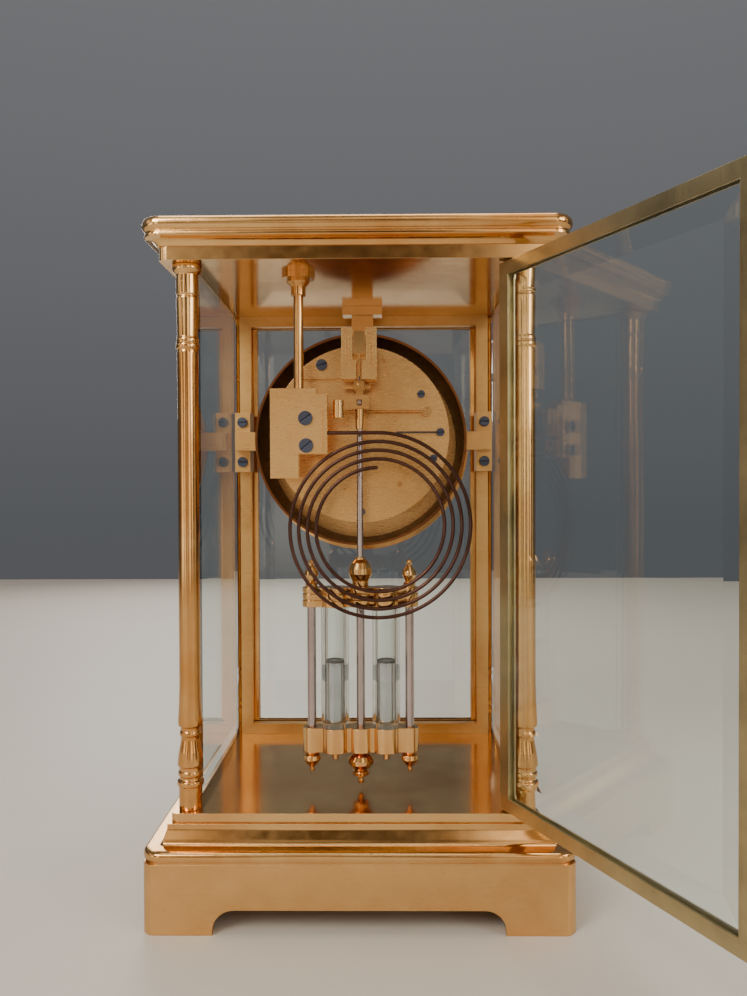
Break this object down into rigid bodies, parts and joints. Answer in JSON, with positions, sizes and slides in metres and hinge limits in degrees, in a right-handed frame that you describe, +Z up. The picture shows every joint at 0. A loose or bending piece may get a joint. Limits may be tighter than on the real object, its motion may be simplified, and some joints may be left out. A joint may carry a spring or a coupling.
{
  "type": "four-glass mantel clock",
  "caption": "Brass four-glass mantel clock with hinged bevelled doors, drum movement, mercury pendulum and coiled striking gong.",
  "frame": {"origin": "centre of the underside of the base, on the table", "axes": "+Z up; the dial looks along -Y and the back door, open at rest, is at +Y; +X is to the right as seen from the front"},
  "size_m": [0.2226, 0.2636, 0.305],
  "materials": {
    "satin_brass": "satin",
    "polished_brass": "polished",
    "pale_brass": "brushed",
    "plate_brass": "satin",
    "steel": "polished",
    "blued_steel": "polished",
    "clear_glass": "bevelled plate",
    "drum_brass": "dull, browned inside",
    "enamel": "gloss, standing in for vitreous enamel",
    "black_enamel": "gloss",
    "mercury": "liquid metal",
    "gong_steel": "browned"
  },
  "bodies": {
    "case": {"base_apron": "satin_brass", "base_plinth": "satin_brass", "floor_plate": "polished_brass", "cornice": "polished_brass", "ceiling_plate": "polished_brass", "column_rear_left": "polished_brass", "column_rear_right": "polished_brass", "column_front_left": "polished_brass", "column_front_right": "polished_brass", "tie_rods": "steel", "tie_rod_nuts": "steel", "side_glass_left": "clear_glass", "side_glass_right": "clear_glass", "front_frame": "satin_brass", "brackets": "satin_brass", "bracket_screws": "blued_steel", "movement_hanger": "polished_brass", "drum": "drum_brass", "bezel": "polished_brass", "dial": "enamel", "dial_marks": "black_enamel", "front_plate": "plate_brass", "back_plate": "plate_brass", "pillars": "polished_brass", "plate_screws": "blued_steel", "suspension_bracket": "plate_brass", "gong_rod": "gong_steel", "gong_block": "gong_steel", "gong_clamp": "gong_steel", "gong_screws": "gong_steel", "gong_coil": "gong_steel", "hammer_spring": "blued_steel", "escape_wheel": "polished_brass"},
    "rear_door": {"rear_door_frame": "pale_brass", "rear_door_glass": "clear_glass", "rear_door_pins": "polished_brass", "rear_door_knob": "polished_brass"},
    "front_door": {"front_door_frame": "polished_brass", "front_door_glass": "clear_glass", "front_door_pins": "polished_brass", "front_door_knob": "polished_brass"},
    "pendulum": {"pendulum_hook": "polished_brass", "suspension_spring": "blued_steel", "pendulum_rod": "steel", "pendulum_top_plate": "polished_brass", "pendulum_bottom_plate": "polished_brass", "pendulum_side_rods": "steel", "pendulum_finials": "polished_brass", "vials": "clear_glass", "mercury": "mercury"},
    "rating_nut": {"rating_nut": "polished_brass"},
    "crutch": {"crutch": "steel"},
    "slider": {"suspension_slider": "polished_brass"},
    "hammer": {"hammer": "polished_brass"},
    "minute_train": {"centre_arbor": "polished_brass", "minute_hand": "blued_steel"},
    "hour_train": {"hour_hand": "blued_steel"},
    "minute_wheel": {"minute_wheel": "polished_brass"},
    "going_barrel": {"going_barrel": "polished_brass"},
    "strike_barrel": {"strike_barrel": "polished_brass"}
  },
  "joints": [
    {"name": "rear_door_hinge", "type": "hinge", "parent": "case", "child": "rear_door", "pos_m": [-0.0666, 0.0616, 0.1678], "axis": [0, 0, 1], "range_deg": [-115, 5]},
    {"name": "front_door_hinge", "type": "hinge", "parent": "case", "child": "front_door", "pos_m": [-0.0666, -0.0616, 0.1678], "axis": [0, 0, -1], "range_deg": [0, 115]},
    {"name": "pendulum_swing", "type": "hinge", "parent": "case", "child": "pendulum", "pos_m": [0, 0.036, 0.2415], "axis": [0, 1, 0], "range_deg": [-3, 3]},
    {"name": "rating_nut_turn", "type": "hinge", "parent": "pendulum", "child": "rating_nut", "pos_m": [0, 0.036, 0.058], "axis": [0, 0, 1], "continuous": true},
    {"name": "crutch_swing", "type": "hinge", "parent": "case", "child": "crutch", "pos_m": [0, 0, 0.2415], "axis": [0, 1, 0], "range_deg": [-3, 3]},
    {"name": "slider_rise", "type": "slide", "parent": "case", "child": "slider", "axis": [0, 0, 1], "range_m": [0, 0.0014]},
    {"name": "hammer_fall", "type": "hinge", "parent": "case", "child": "hammer", "pos_m": [-0.0326, 0, 0.2272], "axis": [0, 1, 0], "range_deg": [0, 7], "stiffness_Nm_per_rad": 0.2, "springref_deg": -1.15},
    {"name": "minute_turn", "type": "hinge", "parent": "case", "child": "minute_train", "pos_m": [0, 0, 0.2133], "axis": [0, 1, 0], "continuous": true},
    {"name": "hour_turn", "type": "hinge", "parent": "case", "child": "hour_train", "pos_m": [0, -0.036, 0.2133], "axis": [0, 1, 0], "continuous": true},
    {"name": "minute_wheel_turn", "type": "hinge", "parent": "case", "child": "minute_wheel", "pos_m": [0.006, -0.035, 0.22369], "axis": [0, 1, 0], "continuous": true},
    {"name": "going_wind", "type": "hinge", "parent": "case", "child": "going_barrel", "pos_m": [0.0192, -0.01, 0.1913], "axis": [0, 1, 0], "continuous": true},
    {"name": "strike_wind", "type": "hinge", "parent": "case", "child": "strike_barrel", "pos_m": [-0.0192, -0.01, 0.1913], "axis": [0, 1, 0], "continuous": true}
  ],
  "couplings": [
    {"joint": "crutch_swing", "follows": "pendulum_swing", "ratio": 1},
    {"joint": "hour_turn", "follows": "minute_turn", "ratio": 0.083333},
    {"joint": "minute_wheel_turn", "follows": "minute_turn", "ratio": -0.33333}
  ]
}
